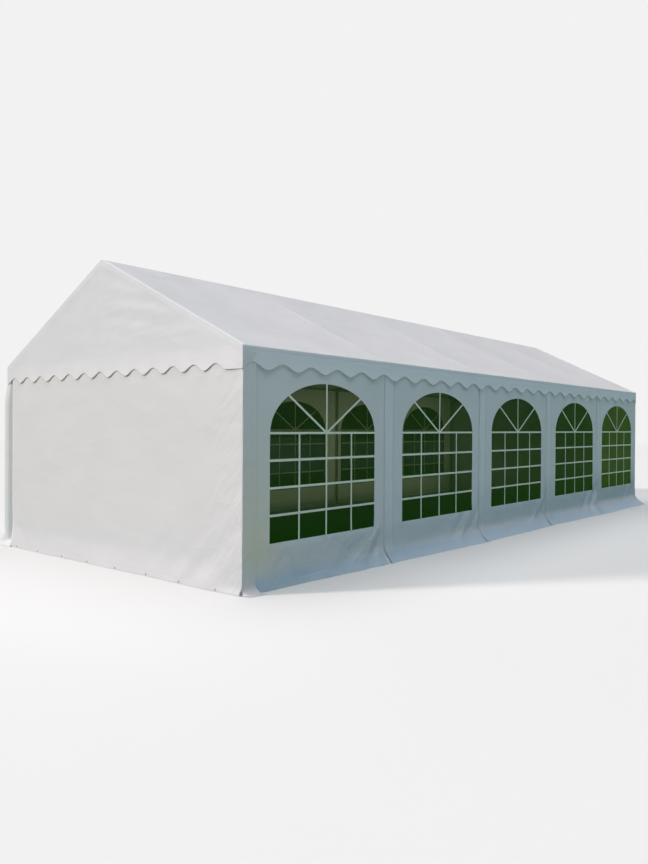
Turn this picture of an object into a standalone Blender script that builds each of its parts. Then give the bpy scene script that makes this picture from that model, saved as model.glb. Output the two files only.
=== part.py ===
# Marquee tent: a steel frame with a PVC cover, five bays long
#
# X runs across the tent, Y runs from the front gable (-Y) to the rear gable (+Y), Z is up.
# The origin is on the ground, in the middle of the tent. All sizes are in metres.

from math import atan2, cos, pi, sin

import bmesh
import bpy
from mathutils import Matrix, Vector

# Overall size of the cover
LENGTH = 10.0
WIDTH = 4.0
EAVE_HEIGHT = 2.08
RIDGE_HEIGHT = 3.03
BAYS = 5

# Cloth: the real sheet is about 0.5 mm thick, the solid is thicker so that it can be held
CLOTH = 0.003
FILM = 0.002
TOUCH_GAP = 0.0003

# Valance, with its wavy lower edge. The first notch is counted from a gable's right corner,
# and from a side's left corner, as seen from outside.
VALANCE_NOTCH_DROP = 0.138
VALANCE_WAVE = 0.06
SIDE_WAVE_LENGTH = 0.374
SIDE_FIRST_NOTCH = 0.098
GABLE_WAVE_LENGTH = 0.291
GABLE_FIRST_NOTCH = 0.333
POINTS_A_WAVE = 8

# Wall panels. Each one's right end, seen from outside, runs on under the next one's left edge,
# or round the corner of the tent. At the ground they end in a skirt that flares out.
WALL_TOP_DROP = 0.05
PANEL_LAP = 0.15
LAP_BEND = 0.01
CORNER_STRIP = 0.125
SKIRT_HEIGHT = 0.20
SKIRT_FLARE = 0.12
SKIRT_STEPS = 4
GROUND_GAP = 0.002

# Windows, with an arched head, one in the middle of each panel's own width
WINDOW_WIDTH = 1.5
WINDOW_SILL = 0.394
WINDOW_SPRING = 1.348
WINDOW_RISE = 0.456
ARCH_STEPS = 16
FILM_LAP = 0.03
CUTTER_DEPTH = 0.05

# Steel frame
TUBE_DIAMETER = 0.038
SLEEVE_DIAMETER = 0.044
RUN_SLEEVE_DIAMETER = 0.048
SLEEVE_LENGTH = 0.10
TUBE_SIDES = 12
GABLE_BEAM_ABOVE_SLEEVE_END = 0.03
PLATE_SIZE = 0.10
PLATE_THICKNESS = 0.004

# Derived sizes
BAY = LENGTH / BAYS
HALF_WIDTH = WIDTH / 2
HALF_LENGTH = LENGTH / 2
SLOPE = atan2(RIDGE_HEIGHT - EAVE_HEIGHT, HALF_WIDTH)
TUBE_RADIUS = TUBE_DIAMETER / 2
SLEEVE_RADIUS = SLEEVE_DIAMETER / 2
RUN_SLEEVE_RADIUS = RUN_SLEEVE_DIAMETER / 2
LAYER = CLOTH + TOUCH_GAP
# From outside to inside: the valance, the panels, their lapped ends, then the frame
PANEL_INSET = LAYER
LAP_INSET = PANEL_INSET + LAYER
FRAME_INSET = LAP_INSET + LAYER + RUN_SLEEVE_RADIUS
FRAME_HALF_WIDTH = HALF_WIDTH - FRAME_INSET
FRAME_HALF_LENGTH = HALF_LENGTH - FRAME_INSET
WALL_TOP = EAVE_HEIGHT - WALL_TOP_DROP
# Ways out of the walls in plan; at a corner the cloth moves out from both walls at once
RIGHT = (1.0, 0.0)
REAR = (0.0, 1.0)
FRONT = (0.0, -1.0)
RIGHT_REAR = (1.0, 1.0)
RIGHT_FRONT = (1.0, -1.0)
# The frame's centre lines lie one sleeve radius below the underside of the roof cloth
ROOF_TO_CENTRE = (CLOTH + TOUCH_GAP + RUN_SLEEVE_RADIUS) / cos(SLOPE)


def material(name, colour, roughness, metallic=0.0, alpha=1.0):
    made = bpy.data.materials.new(name)
    made.use_nodes = True
    shader = made.node_tree.nodes["Principled BSDF"]
    shader.inputs["Base Color"].default_value = (*colour, 1.0)
    shader.inputs["Roughness"].default_value = roughness
    shader.inputs["Metallic"].default_value = metallic
    shader.inputs["Alpha"].default_value = alpha
    return made


def roof_height(x):
    """Height of the top of the roof cloth over a place x across the tent."""
    return RIDGE_HEIGHT - abs(x) * (RIDGE_HEIGHT - EAVE_HEIGHT) / HALF_WIDTH


def centre_height(x):
    """Height of a rafter's centre line at x."""
    return roof_height(x) - ROOF_TO_CENTRE


def frame_places():
    """The six places along the tent where a frame stands."""
    inner = [-HALF_LENGTH + BAY * k for k in range(1, BAYS)]
    return [-FRAME_HALF_LENGTH, *inner, FRAME_HALF_LENGTH]


def add_object(name, mesh, collection, look):
    made = bpy.data.objects.new(name, mesh)
    mesh.materials.append(look)
    collection.objects.link(made)
    return made


def mesh_of(name, shape):
    """Turns a closed bmesh into a mesh whose faces point out, also where it is a thin sheet."""
    bmesh.ops.recalc_face_normals(shape, faces=shape.faces)
    if shape.calc_volume(signed=True) < 0:
        bmesh.ops.reverse_faces(shape, faces=shape.faces)
    mesh = bpy.data.meshes.new(name)
    shape.to_mesh(mesh)
    shape.free()
    return mesh


def tube(start, end, radius):
    """A closed cylinder from start to end."""
    start, end = Vector(start), Vector(end)
    along = end - start
    place = Matrix.Translation((start + end) / 2) @ along.to_track_quat("Z", "Y").to_matrix().to_4x4()
    shape = bmesh.new()
    bmesh.ops.create_cone(shape, cap_ends=True, segments=TUBE_SIDES, radius1=radius, radius2=radius,
                          depth=along.length, matrix=place)
    return shape


def box(low, high):
    """A closed box between two corners."""
    low, high = Vector(low), Vector(high)
    place = Matrix.Translation((low + high) / 2) @ Matrix.Diagonal((*(high - low), 1.0))
    shape = bmesh.new()
    bmesh.ops.create_cube(shape, size=1.0, matrix=place)
    return shape


def apply_modifiers(made):
    """Keeps the object's evaluated mesh and drops its modifiers."""
    bpy.context.view_layer.update()
    evaluated = made.evaluated_get(bpy.context.evaluated_depsgraph_get())
    mesh = bpy.data.meshes.new_from_object(evaluated)
    made.modifiers.clear()
    made.data = mesh


def join_solids(name, shapes, collection, look):
    """One solid from several overlapping closed shapes."""
    pieces = []
    for number, shape in enumerate(shapes):
        pieces.append(add_object(f"{name}_{number}", mesh_of(name, shape), collection, look))
    body, *rest = pieces
    for piece in rest:
        union = body.modifiers.new("union", "BOOLEAN")
        union.operation = "UNION"
        union.solver = "EXACT"
        union.object = piece
    apply_modifiers(body)
    for piece in rest:
        bpy.data.objects.remove(piece)
    body.name = name
    return body


def leg(name, x, y, collection, look):
    """A tube on a square foot plate; its top ends under the eave beam's sleeve.

    The plate reaches inward from the leg, so that it stays clear of the cloth.
    """
    outward = Vector((1.0 if x > 0 else -1.0, 0.0, 0.0))
    if abs(y) > HALF_LENGTH - BAY / 2:
        outward.y = 1.0 if y > 0 else -1.0
    foot = Vector((x, y, 0.0))
    centre = foot - outward * (PLATE_SIZE / 2 - SLEEVE_RADIUS)
    half = Vector((PLATE_SIZE / 2, PLATE_SIZE / 2, 0.0))
    plate = box(centre - half, centre + half + Vector((0.0, 0.0, PLATE_THICKNESS)))
    top = centre_height(x) - SLEEVE_LENGTH - TOUCH_GAP
    post = tube((x, y, PLATE_THICKNESS / 2), (x, y, top), TUBE_RADIUS)
    return join_solids(name, [plate, post], collection, look)


def rafter(name, side, y, collection, look):
    """A tube between the eave beam's sleeve and the ridge beam's."""
    low = Vector((side * FRAME_HALF_WIDTH, y, centre_height(FRAME_HALF_WIDTH)))
    high = Vector((0.0, y, centre_height(0.0)))
    way = (high - low).normalized() * (SLEEVE_LENGTH + TOUCH_GAP)
    return add_object(name, mesh_of(name, tube(low + way, high - way, TUBE_RADIUS)), collection, look)


def long_beam(x):
    """A tube along the tent at x, with a sleeve on it at each frame."""
    z = centre_height(x)
    half = FRAME_HALF_LENGTH + RUN_SLEEVE_RADIUS
    shapes = [tube((x, -half, z), (x, half, z), TUBE_RADIUS)]
    for y in frame_places():
        low = max(y - SLEEVE_LENGTH, -half)
        high = min(y + SLEEVE_LENGTH, half)
        shapes.append(tube((x, low, z), (x, high, z), RUN_SLEEVE_RADIUS))
    return shapes


def sleeve(x, y, way):
    """The stub of a fitting that takes another tube, pointing along way."""
    foot = Vector((x, y, centre_height(x)))
    return tube(foot, foot + Vector(way) * SLEEVE_LENGTH, SLEEVE_RADIUS)


def eave_beam(name, side, collection, look):
    """The tube along one eave, with the corner fittings that take the legs and rafters."""
    x = side * FRAME_HALF_WIDTH
    shapes = long_beam(x)
    for y in frame_places():
        shapes.append(sleeve(x, y, (0.0, 0.0, -1.0)))
        shapes.append(sleeve(x, y, (-side * cos(SLOPE), 0.0, sin(SLOPE))))
    return join_solids(name, shapes, collection, look)


def ridge_beam(name, collection, look):
    """The tube along the ridge, with the fittings that take the rafters' upper ends."""
    shapes = long_beam(0.0)
    for y in frame_places():
        for side in (1, -1):
            shapes.append(sleeve(0.0, y, (side * cos(SLOPE), 0.0, -sin(SLOPE))))
    return join_solids(name, shapes, collection, look)


def flat_sheet(name, outlines, thickness, collection, look):
    """A sheet cut to closed outlines, the first one outside and the others holes.

    It is made in the XY plane, centred on it, with the given thickness along Z.
    """
    curve = bpy.data.curves.new(name, "CURVE")
    curve.dimensions = "2D"
    curve.fill_mode = "BOTH"
    curve.extrude = thickness / 2
    for points in outlines:
        line = curve.splines.new("POLY")
        line.points.add(len(points) - 1)
        for target, (u, v) in zip(line.points, points):
            target.co = (u, v, 0.0, 1.0)
        line.use_cyclic_u = True
    drawn = bpy.data.objects.new(name, curve)
    collection.objects.link(drawn)
    bpy.context.view_layer.update()
    evaluated = drawn.evaluated_get(bpy.context.evaluated_depsgraph_get())
    mesh = bpy.data.meshes.new_from_object(evaluated)
    bpy.data.objects.remove(drawn)
    shape = bmesh.new()
    shape.from_mesh(mesh)
    bmesh.ops.remove_doubles(shape, verts=shape.verts, dist=0.00001)
    return add_object(name, mesh_of(name, shape), collection, look)


def lobe_depth(along, span, first_notch, wave_length):
    """How deep the wavy edge hangs at a place along it: 0 at a notch, 1 at the bottom of a lobe.

    The edge is at its deepest at both corners of the tent, so the end lobes are longer or shorter.
    """
    last_notch = first_notch + wave_length * int((span - first_notch) / wave_length)
    if first_notch <= along <= last_notch:
        return (1 - cos(2 * pi * (along - first_notch) / wave_length)) / 2
    from_corner, notch = along, first_notch
    if along > last_notch:
        from_corner, notch = span - along, span - last_notch
    ramp = min(notch, wave_length / 2)
    rise = max(0.0, 1 - (notch - from_corner) / ramp)
    return (1 + cos(pi * rise)) / 2


def wave_points(span, first_notch, wave_length):
    """The valance's lower edge from one corner to the other, centred, as drops below the eave."""
    count = round(span * POINTS_A_WAVE / wave_length)
    points = []
    for step in range(count + 1):
        along = span * step / count
        depth = VALANCE_WAVE * lobe_depth(along, span, first_notch, wave_length)
        points.append((along - span / 2, -VALANCE_NOTCH_DROP - depth))
    return points


def upright(turn, place):
    """Stands a sheet made in the XY plane upright, with its Y upward, and turns it about Z."""
    return Matrix.Translation(place) @ Matrix.Rotation(turn, 4, "Z") @ Matrix.Rotation(pi / 2, 4, "X")


def gable_cloth(name, end, collection, look):
    """The roof cover's end: a triangle and a valance in one flat sheet."""
    reach = HALF_WIDTH - CLOTH - TOUCH_GAP
    under_roof = (CLOTH + TOUCH_GAP) / cos(SLOPE)
    outline = [(-u, v) for u, v in reversed(wave_points(2 * reach, GABLE_FIRST_NOTCH, GABLE_WAVE_LENGTH))]
    for x in (reach, 0.0, -reach):
        outline.append((x, roof_height(x) - under_roof - EAVE_HEIGHT))
    made = flat_sheet(name, [outline], CLOTH, collection, look)
    turn = 0.0 if end < 0 else pi
    made.matrix_world = upright(turn, (0.0, end * (HALF_LENGTH - CLOTH / 2), EAVE_HEIGHT))
    return made


def side_valance(name, side, collection, look):
    """The strip that hangs from the roof's edge along one side."""
    under_roof = CLOTH / cos(SLOPE) + TOUCH_GAP
    outline = wave_points(LENGTH, SIDE_FIRST_NOTCH, SIDE_WAVE_LENGTH)
    outline += [(HALF_LENGTH, -under_roof), (-HALF_LENGTH, -under_roof)]
    made = flat_sheet(name, [outline], CLOTH, collection, look)
    made.matrix_world = upright(side * pi / 2, (side * (HALF_WIDTH - CLOTH / 2), 0.0, EAVE_HEIGHT))
    return made


def roof_slope(name, side, collection, look):
    """One slope of the roof cover, from the ridge to the eave, on top of the frame."""
    shape = bmesh.new()
    bmesh.ops.create_cube(shape, size=1.0)
    for corner in shape.verts:
        at_ridge = corner.co.x < 0
        across = TOUCH_GAP / 2 if at_ridge else HALF_WIDTH
        thickness = 0.0 if corner.co.z > 0 else CLOTH / cos(SLOPE)
        corner.co = Vector((side * across, corner.co.y * LENGTH, roof_height(across) - thickness))
    return add_object(name, mesh_of(name, shape), collection, look)


def skirt_reach(height):
    """How far the wall cloth stands out: nothing above the skirt, more towards the ground."""
    below = max(0.0, 1 - height / SKIRT_HEIGHT)
    return SKIRT_FLARE * (1 - cos(below * pi / 2))


def wall_cloth(name, path, collection, look):
    """A wall sheet that follows a path in plan, upright above and flared out at the ground.

    Each point of the path comes with the way in which the skirt flares there.
    """
    skirt = [GROUND_GAP + (SKIRT_HEIGHT - GROUND_GAP) * step / SKIRT_STEPS for step in range(SKIRT_STEPS + 1)]
    heights = [*skirt, WALL_TOP]
    shape = bmesh.new()
    columns, rows = len(path) - 1, len(heights) - 1
    bmesh.ops.create_grid(shape, x_segments=columns, y_segments=rows, size=0.5)
    inner = bmesh.ops.extrude_face_region(shape, geom=shape.faces[:], use_keep_orig=True)["geom"]
    for corner in inner:
        if isinstance(corner, bmesh.types.BMVert):
            corner.co.z = -1.0
    for corner in shape.verts:
        column = round((corner.co.x + 0.5) * columns)
        height = heights[round((corner.co.y + 0.5) * rows)]
        out = skirt_reach(height) + corner.co.z * CLOTH
        place, way = path[column]
        plan = Vector(place) + Vector(way) * out
        corner.co = Vector((plan.x, plan.y, height))
    return add_object(name, mesh_of(name, shape), collection, look)


def window_outline(centre):
    """A window's outline in the wall's own plane, with a half ellipse for its head."""
    half = WINDOW_WIDTH / 2
    points = [(centre - half, WINDOW_SILL), (centre + half, WINDOW_SILL)]
    for step in range(ARCH_STEPS + 1):
        turn = pi * step / ARCH_STEPS
        points.append((centre + half * cos(turn), WINDOW_SPRING + WINDOW_RISE * sin(turn)))
    return points


def window_centre(bay):
    """Place along the tent of the window in a bay of the right side, counted from 0 at the front."""
    return -HALF_LENGTH + BAY * bay + (BAY + PANEL_LAP) / 2


def panel_path(bay):
    """The plan of a panel of the right side, walked from its left edge as seen from outside."""
    outer = HALF_WIDTH - PANEL_INSET
    lapped = HALF_WIDTH - LAP_INSET
    start = -HALF_LENGTH + BAY * bay
    end = start + BAY
    if bay == 0:
        start += PANEL_INSET
    if bay == BAYS - 1:
        corner = HALF_LENGTH - LAP_INSET
        return [((outer, start), RIGHT), ((outer, corner), RIGHT_REAR), ((outer - PANEL_LAP, corner), REAR)]
    places = [(outer, start), (outer, end - LAP_BEND), (lapped, end - TOUCH_GAP), (lapped, end + PANEL_LAP)]
    return [(place, RIGHT) for place in places]


def window_panel(name, bay, parts, cutters, look):
    """A panel of the right side with its window cut through."""
    made = wall_cloth(name, panel_path(bay), parts, look)
    cutter = flat_sheet(f"{name}_window", [window_outline(window_centre(bay))], CUTTER_DEPTH, cutters, look)
    cutter.matrix_world = upright(pi / 2, (HALF_WIDTH, 0.0, 0.0))
    cutter.hide_render = True
    cutter.display_type = "WIRE"
    cut = made.modifiers.new("window", "BOOLEAN")
    cut.operation = "DIFFERENCE"
    cut.solver = "EXACT"
    cut.object = cutter
    apply_modifiers(made)
    bpy.data.objects.remove(cutter)
    return made


def gable_wall(name, collection, look):
    """The front end wall; its right end turns the corner under the side's first panel."""
    front = -HALF_LENGTH + PANEL_INSET
    corner = HALF_WIDTH - LAP_INSET
    start = -HALF_WIDTH + CORNER_STRIP
    path = [((start, front), FRONT), ((corner, front), RIGHT_FRONT), ((corner, front + PANEL_LAP), RIGHT)]
    return wall_cloth(name, path, collection, look)


def window_film(name, collection, look):
    """The clear film behind all windows of the right side, in one strip inside the panels."""
    half = WINDOW_WIDTH / 2 + FILM_LAP
    outer = HALF_WIDTH - LAP_INSET - LAYER
    low = (outer - FILM, window_centre(0) - half, WINDOW_SILL - FILM_LAP)
    high = (outer, window_centre(BAYS - 1) + half, WINDOW_SPRING + WINDOW_RISE + FILM_LAP)
    return add_object(name, mesh_of(name, box(low, high)), collection, look)


def turned_copy(name, original, collection):
    """The same piece on the opposite side, turned half way round the middle of the tent."""
    made = bpy.data.objects.new(name, original.data)
    made.matrix_world = Matrix.Rotation(pi, 4, "Z") @ original.matrix_world
    collection.objects.link(made)
    return made


def gable_beam(name, end, collection, look):
    """The tube across a gable that its wall hangs from, between the corner legs' sleeves."""
    reach = FRAME_HALF_WIDTH - SLEEVE_RADIUS - TOUCH_GAP
    y = end * FRAME_HALF_LENGTH
    z = centre_height(FRAME_HALF_WIDTH) - SLEEVE_LENGTH + GABLE_BEAM_ABOVE_SLEEVE_END
    return add_object(name, mesh_of(name, tube((-reach, y, z), (reach, y, z), TUBE_RADIUS)), collection, look)


def new_collection(name):
    made = bpy.data.collections.new(name)
    bpy.context.scene.collection.children.link(made)
    return made


def main():
    for old in list(bpy.data.objects):
        bpy.data.objects.remove(old)
    parts = new_collection("marquee_tent")
    cutters = new_collection("cutters")
    steel = material("galvanised_steel", (0.55, 0.56, 0.57), 0.42, metallic=0.9)
    cloth = material("white_pvc", (0.84, 0.85, 0.85), 0.48)
    film = material("clear_film", (0.55, 0.62, 0.55), 0.12, alpha=0.35)

    for side, label in ((1, "right"), (-1, "left")):
        for number, y in enumerate(frame_places(), start=1):
            leg(f"leg_{label}_{number}", side * FRAME_HALF_WIDTH, y, parts, steel)
            rafter(f"rafter_{label}_{number}", side, y, parts, steel)
        eave_beam(f"eave_beam_{label}", side, parts, steel)
        roof_slope(f"roof_slope_{label}", side, parts, cloth)
        side_valance(f"valance_{label}", side, parts, cloth)
    ridge_beam("ridge_beam", parts, steel)

    for end, label in ((-1, "front"), (1, "rear")):
        gable_beam(f"gable_beam_{label}", end, parts, steel)
        gable_cloth(f"gable_{label}", end, parts, cloth)

    for bay in range(BAYS):
        panel = window_panel(f"wall_panel_right_{bay + 1}", bay, parts, cutters, cloth)
        turned_copy(f"wall_panel_left_{bay + 1}", panel, parts)
    front = gable_wall("gable_wall_front", parts, cloth)
    turned_copy("gable_wall_rear", front, parts)
    right_film = window_film("window_film_right", parts, film)
    turned_copy("window_film_left", right_film, parts)


main()
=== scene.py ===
# %% [markdown]
# # Dressing a marquee tent
# The tent's frame and its plain cloth solids come packed from the CAD model. This lesson puts real cloth
# over them: a roof cover that sags between its rafters, walls that hang in soft folds and flare out at
# the ground, clear windows with welded bars, and the finish of coated cloth and galvanised tube.
# Everything is in metres, with the origin on the ground in the middle of the tent, X to the right side,
# and Y along the ridge from the front gable to the rear one.

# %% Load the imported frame
from math import atan2, cos, exp, pi, radians, sin, tan

import bmesh
import bpy
from mathutils import Matrix, Vector, noise


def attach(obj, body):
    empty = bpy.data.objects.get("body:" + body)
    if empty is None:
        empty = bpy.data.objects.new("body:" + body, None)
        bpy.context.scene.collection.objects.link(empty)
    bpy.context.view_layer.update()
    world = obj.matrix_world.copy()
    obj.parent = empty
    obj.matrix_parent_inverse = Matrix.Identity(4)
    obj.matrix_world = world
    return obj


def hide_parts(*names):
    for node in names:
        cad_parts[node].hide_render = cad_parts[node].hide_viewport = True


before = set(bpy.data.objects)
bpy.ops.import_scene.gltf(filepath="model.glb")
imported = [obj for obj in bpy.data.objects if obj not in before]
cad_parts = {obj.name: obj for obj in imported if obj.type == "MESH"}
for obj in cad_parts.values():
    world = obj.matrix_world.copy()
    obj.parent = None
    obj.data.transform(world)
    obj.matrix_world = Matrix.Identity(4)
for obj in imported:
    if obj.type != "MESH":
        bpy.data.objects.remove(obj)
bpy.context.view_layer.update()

# %% [markdown]
# ## The camera
# The picture is taken from the tent's front right corner, at the height of a person's eye, with a
# moderately wide lens. A camera's place can be found by hand, by moving it until the corners fit.
# Here they were worked out from the corners, windows and bays of the tent, and are written as numbers:
# its place, then the way that it looks, and a small roll, because it wasn't held quite level. The small
# shift says that the lens didn't aim exactly at the picture's middle.

# %% Camera
CAMERA_PLACE = (6.4663, -9.1552, 1.4033)
YAW = radians(39.327)
DOWN = radians(0.438)
ROLL = radians(0.350)

level = Vector((cos(YAW), sin(YAW), 0))
forward = Vector((-sin(YAW) * cos(DOWN), cos(YAW) * cos(DOWN), -sin(DOWN)))
upward = level.cross(forward)
right = level * cos(ROLL) + upward * sin(ROLL)
up = upward * cos(ROLL) - level * sin(ROLL)

camera_data = bpy.data.cameras.new("camera")
camera_data.lens = 30.561
camera_data.sensor_width = 36
camera_data.shift_x = -18 / 864
camera_data.shift_y = 0.7 / 864
camera = bpy.data.objects.new("camera", camera_data)
turn = Matrix((right, up, -forward)).transposed()
camera.matrix_world = Matrix.Translation(CAMERA_PLACE) @ turn.to_4x4()
bpy.context.scene.collection.objects.link(camera)
bpy.context.scene.camera = camera
print("camera looks towards", tuple(round(x, 3) for x in forward))

# %% [markdown]
# ## Sizes that the cloth shares with the frame
# The cloth must lie where the CAD solids are, so their sizes are repeated here. The slope's length is
# measured along the cloth, because the roof cover is one sheet that is laid over the frame. The cover is
# pulled up to 3.05 m at the ridge, 2 cm over the top of the frame, and its front edge is drawn forward
# there by 4 cm, so the cloth has a ridge height of its own beside the frame's.

# %% Sizes
HALF_LENGTH = 5.0
HALF_WIDTH = 2.0
BAY = 2.0
EAVE = 2.08
RIDGE = 3.05
FRAME_RIDGE = 3.03
FRONT_LEAN = 0.042
SLOPE_ANGLE = atan2(RIDGE - EAVE, HALF_WIDTH)
SLOPE_LENGTH = HALF_WIDTH / cos(SLOPE_ANGLE)
RAFTERS = [-4.9661, -3.0, -1.0, 1.0, 3.0, 4.9661]
NOTCH_DROP = 0.138
WAVE_DEPTH = 0.06
VALANCE_DEEP = NOTCH_DROP + WAVE_DEPTH
WALL_TOP = 2.03
LAP = 0.15
LAYER = 0.0033
SKIRT_HEIGHT = 0.20
SKIRT_FLARE = 0.12
GROUND_GAP = 0.002
CORNER_STRIP = 0.125

# %% [markdown]
# ## A flat grid for each sheet
# A sheet of cloth starts flat, as on the cutting table. The grid is Blender's own, and each of its
# columns and rows is then moved to a place of our choice, so that rows crowd where the cloth bends
# sharply. The flat shape is kept as the UV map, in metres, so that a pattern can follow the cloth.

# %% Helpers for sheets
def deselect():
    if bpy.context.object and bpy.context.object.mode != "OBJECT":
        bpy.ops.object.mode_set(mode="OBJECT")
    bpy.ops.object.select_all(action="DESELECT")


def make_active(piece):
    deselect()
    piece.select_set(True)
    bpy.context.view_layer.objects.active = piece


def flat_grid(name, across, upwards):
    """A flat sheet in XY, with a column at each number of across and a row at each of upwards."""
    deselect()
    columns, rows = len(across) - 1, len(upwards) - 1
    bpy.ops.mesh.primitive_grid_add(
        x_subdivisions=columns, y_subdivisions=rows, size=1, location=(0, 0, 0)
    )
    made = bpy.context.object
    made.name = made.data.name = name
    for vertex in made.data.vertices:
        column = round((vertex.co.x + 0.5) * columns)
        row = round((vertex.co.y + 0.5) * rows)
        vertex.co = (across[column], upwards[row], 0)
    return made


def keep_flat_as_uv(piece):
    """Writes the flat sheet's own place, in metres, into its UV map."""
    uv = piece.data.uv_layers["UVMap"].data
    for loop in piece.data.loops:
        uv[loop.index].uv = piece.data.vertices[loop.vertex_index].co.xy


def shape_sheet(piece, place):
    """Moves each point of a flat sheet to place(x, y)."""
    for vertex in piece.data.vertices:
        vertex.co = place(vertex.co.x, vertex.co.y)
    piece.data.update()
    make_active(piece)
    bpy.ops.object.shade_smooth()


def copy_piece(piece, name):
    """A copy with a mesh of its own."""
    made = piece.copy()
    made.data = piece.data.copy()
    made.name = made.data.name = name
    bpy.context.scene.collection.objects.link(made)
    return made


def steps(low, high, size):
    """Evenly spaced numbers from low to high, about size apart."""
    count = max(1, round((high - low) / size))
    return [low + (high - low) * k / count for k in range(count + 1)]


def merged(*lists):
    """One rising list out of several, without near repeats."""
    result = []
    for value in sorted(v for some in lists for v in some):
        if not result or value - result[-1] > 0.002:
            result.append(value)
    return result


def ease(low, high, value):
    """0 below low and 1 above high, with a smooth rise between. It falls where low is above high."""
    share = min(1.0, max(0.0, (value - low) / (high - low)))
    return share * share * (3 - 2 * share)


def ripple(x, y, seed):
    """Smooth noise from -1 to 1 that is the same on every run."""
    return noise.noise(Vector((x, y, seed)))


print("even steps", steps(0.0, 1.0, 0.25), "and a smooth quarter", round(ease(0.0, 1.0, 0.25), 3))

# %% [markdown]
# ## The roof cover
# On the real tent the roof and the two side valances are one welded sheet, pulled over the ridge and
# laced down at the eaves. It touches the rafters, the ridge tube and the eave tubes, and sags a little
# between them, so each rafter shows as a faint straight crease. Four flat planes would miss that.
# So one sheet is laid from the wavy edge of the right valance, over the ridge, to the left one's.
# The wave isn't a whole number of lobes long, so the lobes at the corners are cut where the sheet ends.
# The cloth's end is turned down over each gable, and a rafter's crease is only 3 cm wide, so the grid's
# columns crowd at both.

# %% Shape of the roof cover
SIDE_NOTCH, SIDE_WAVE = 0.098, 0.374
GABLE_NOTCH, GABLE_WAVE = 0.333, 0.291
SAG = 0.020
CREASE_DEEP, CREASE_WIDE = 0.0014, 0.03
VERGE_TURN, VERGE_TURN_WIDE = 0.022, 0.05


def lobe(along, span, first, wave):
    """0 at a notch of the wavy edge and 1 at the bottom of a lobe; deepest at both corners."""
    last = first + wave * int((span - first) / wave)
    if first <= along <= last:
        return (1 - cos(2 * pi * (along - first) / wave)) / 2
    from_corner, notch = (span - along, span - last) if along > last else (along, first)
    ramp = min(notch, wave / 2)
    rise = max(0.0, 1 - (notch - from_corner) / ramp)
    return (1 + cos(pi * rise)) / 2


def roof_height(x):
    return RIDGE - abs(x) * (RIDGE - EAVE) / HALF_WIDTH


def roof_sag(y, down):
    """How far the cloth hangs below the straight slope, down being measured from the ridge."""
    for start, end in zip(RAFTERS, RAFTERS[1:]):
        if y <= end:
            break
    share = min(1.0, max(0.0, (y - start) / (end - start)))
    belly = sin(pi * share) * sin(pi * min(1.0, down / SLOPE_LENGTH)) ** 0.8
    to_rafter = min(share, 1 - share) * (end - start)
    crease = exp(-((to_rafter / CREASE_WIDE) ** 2))
    small = ripple(y * 1.4, down * 2.2, 3.7) * 0.0016 * ease(0, 0.25, down)
    return SAG * belly - CREASE_DEEP * crease + small * ease(0.0, 0.12, to_rafter)


def front_lean(y, z):
    """How far the cloth is drawn forward at the front verge: most at the ridge, nothing at the eave."""
    return FRONT_LEAN * max(0.0, z - EAVE) / (RIDGE - EAVE) * ease(-4.0, -HALF_LENGTH, y)


def verge_drop(y):
    """The cloth's end is turned down over the gable, so that its edge is rounded."""
    past = max(0.0, 1 - (HALF_LENGTH - abs(y)) / VERGE_TURN_WIDE)
    return VERGE_TURN * past * past


def valance_flare(share, wave, from_corner):
    """How far the valance's cloth stands off. share runs from 0 at the eave to 1 at its lower edge."""
    return (0.007 + 0.010 * wave) * share ** 1.6 * ease(0.0, 0.16, from_corner)


def roof_point(y, across):
    """The place of a point of the roof cover. across is measured along the cloth from the ridge."""
    side = 1 if across > 0 else -1
    down = abs(across)
    if down <= SLOPE_LENGTH:
        sag = roof_sag(y, down) + verge_drop(y) * ease(SLOPE_LENGTH, SLOPE_LENGTH - 0.05, down)
        x = side * (down * cos(SLOPE_ANGLE) - sag * sin(SLOPE_ANGLE))
        z = RIDGE - down * sin(SLOPE_ANGLE) - sag * cos(SLOPE_ANGLE)
        return x, y - front_lean(y, z), z
    share = (down - SLOPE_LENGTH) / VALANCE_DEEP
    along = HALF_LENGTH + side * y
    wave = lobe(along, 2 * HALF_LENGTH, SIDE_NOTCH, SIDE_WAVE)
    drop = share * (NOTCH_DROP + WAVE_DEPTH * wave)
    from_corner = HALF_LENGTH - abs(y)
    out = valance_flare(share, wave, from_corner) * 0.6
    out += 0.0025 * sin(pi * share) * ripple(y * 1.1, 0.4, 8.2) * ease(0.0, 0.2, from_corner)
    return side * (HALF_WIDTH + out), y, EAVE - drop


half_rows = merged(
    [0.0, 0.010],
    steps(0.04, SLOPE_LENGTH - 0.04, 0.045),
    [SLOPE_LENGTH - 0.010, SLOPE_LENGTH, SLOPE_LENGTH + 0.008],
    steps(SLOPE_LENGTH + 0.03, SLOPE_LENGTH + VALANCE_DEEP, 0.024),
)
roof_rows = sorted({-r for r in half_rows} | set(half_rows))
verge_columns = [sign * (HALF_LENGTH - e) for sign in (-1, 1) for e in (0.0, 0.006, 0.012, 0.020)]
crease_columns = [y + e for y in RAFTERS[1:-1] for e in (-0.012, 0.0, 0.012)]
roof_columns = merged(steps(-HALF_LENGTH, HALF_LENGTH, 0.025), verge_columns, crease_columns)

# The flat grid has X along the tent, so that its upper side faces out once the sheet is laid
roof_cover = flat_grid("roof_cover", roof_columns, roof_rows)
keep_flat_as_uv(roof_cover)
shape_sheet(roof_cover, lambda along, across: roof_point(along, -across))
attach(roof_cover, "root")
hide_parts("roof_slope_right", "roof_slope_left", "valance_right", "valance_left")
print("roof cover", len(roof_cover.data.polygons), "faces")

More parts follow.
